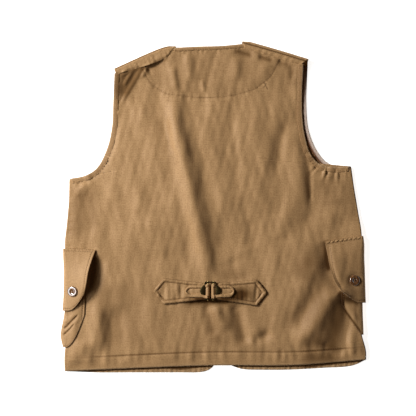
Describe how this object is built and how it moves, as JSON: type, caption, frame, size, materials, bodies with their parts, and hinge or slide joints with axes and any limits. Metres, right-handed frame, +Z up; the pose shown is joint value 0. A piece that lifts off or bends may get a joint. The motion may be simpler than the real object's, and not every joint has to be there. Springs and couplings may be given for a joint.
{
  "type": "work vest",
  "caption": "Sleeveless twill work vest laid flat, back up, with a buckled waist cinch, flapped side pockets and bound armholes and neck.",
  "frame": {"origin": "under the middle of the laid vest, on the surface that it lies on", "axes": "+Y from hem to neck, +X to the right as one looks at the back, +Z up, out of the back"},
  "size_m": [0.6102, 0.6628, 0.0342],
  "materials": {
    "twill": "brushed cotton twill, matt",
    "twill_edge": "folded twill strip, matt",
    "facing": "worn inner side of the twill, matt",
    "horn": "polished brown, glossy",
    "bronze": "antique dark, half gloss"
  },
  "bodies": {
    "root": {"back_panel": "twill", "neck_binding": "twill_edge", "front_panel_left": "twill", "front_panel_right": "twill", "armhole_binding_left": "twill_edge", "armhole_binding_right": "twill_edge", "armhole_facing_left": "facing", "armhole_facing_right": "facing", "pocket_left": "twill", "pocket_right": "twill", "pocket_flap_left": "twill", "pocket_flap_right": "twill", "flap_button_left": "horn", "flap_button_right": "horn", "cinch_strap_left": "twill", "cinch_strap_right": "twill", "cinch_buckle": "bronze"}
  },
  "joints": []
}
